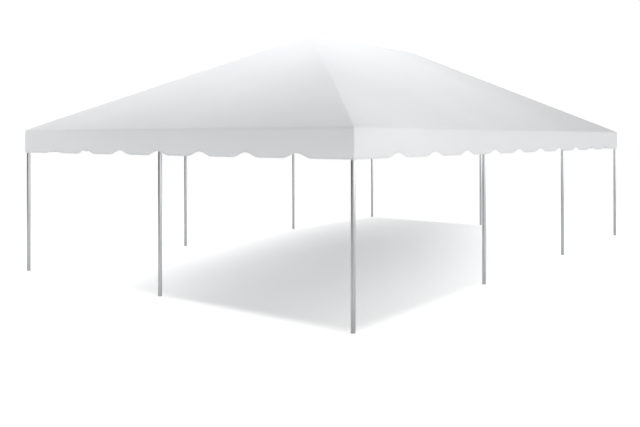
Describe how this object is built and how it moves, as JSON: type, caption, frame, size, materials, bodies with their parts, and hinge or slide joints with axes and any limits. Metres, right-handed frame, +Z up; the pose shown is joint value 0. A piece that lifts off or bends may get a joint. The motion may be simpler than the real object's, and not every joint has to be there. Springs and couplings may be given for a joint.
{
  "type": "marquee tent",
  "caption": "Open-sided marquee tent: a hipped white vinyl canopy with a scalloped valance, on a frame of round metal tubes and plain legs.",
  "frame": {"origin": "on the ground under the middle of the tent, at the bottom centre of its box", "axes": "+X along the ridge, +Y across the tent to the back, +Z up"},
  "size_m": [9.2286, 6.1806, 3.6857],
  "materials": {
    "leg_tube": "satin",
    "frame_tube": "satin",
    "fitting": "galvanised",
    "roof_vinyl": "smooth coated",
    "valance_vinyl": "smooth coated"
  },
  "bodies": {
    "root": {"leg_front_left": "leg_tube", "leg_front_middle_left": "leg_tube", "leg_front_middle_right": "leg_tube", "leg_front_right": "leg_tube", "leg_right_end": "leg_tube", "leg_back_right": "leg_tube", "leg_back_middle_right": "leg_tube", "leg_back_middle_left": "leg_tube", "leg_back_left": "leg_tube", "leg_left_end": "leg_tube", "eave_tube_front_left": "frame_tube", "eave_tube_front_middle": "frame_tube", "eave_tube_front_right": "frame_tube", "eave_tube_right_front": "frame_tube", "eave_tube_right_back": "frame_tube", "eave_tube_back_right": "frame_tube", "eave_tube_back_middle": "frame_tube", "eave_tube_back_left": "frame_tube", "eave_tube_left_back": "frame_tube", "eave_tube_left_front": "frame_tube", "ridge_tube": "frame_tube", "end_rafter_left": "frame_tube", "side_rafter_front_left": "frame_tube", "hip_rafter_front_left": "frame_tube", "side_rafter_back_left": "frame_tube", "hip_rafter_back_left": "frame_tube", "end_rafter_right": "frame_tube", "side_rafter_front_right": "frame_tube", "hip_rafter_front_right": "frame_tube", "side_rafter_back_right": "frame_tube", "hip_rafter_back_right": "frame_tube", "corner_fitting_front_left": "fitting", "side_fitting_front_middle_left": "fitting", "side_fitting_front_middle_right": "fitting", "corner_fitting_front_right": "fitting", "side_fitting_right_end": "fitting", "corner_fitting_back_right": "fitting", "side_fitting_back_middle_right": "fitting", "side_fitting_back_middle_left": "fitting", "corner_fitting_back_left": "fitting", "side_fitting_left_end": "fitting", "crown_fitting_left": "fitting", "crown_fitting_right": "fitting", "roof_front": "roof_vinyl", "roof_right": "roof_vinyl", "roof_back": "roof_vinyl", "roof_left": "roof_vinyl", "valance_front": "valance_vinyl", "valance_right": "valance_vinyl", "valance_back": "valance_vinyl", "valance_left": "valance_vinyl"}
  },
  "joints": []
}
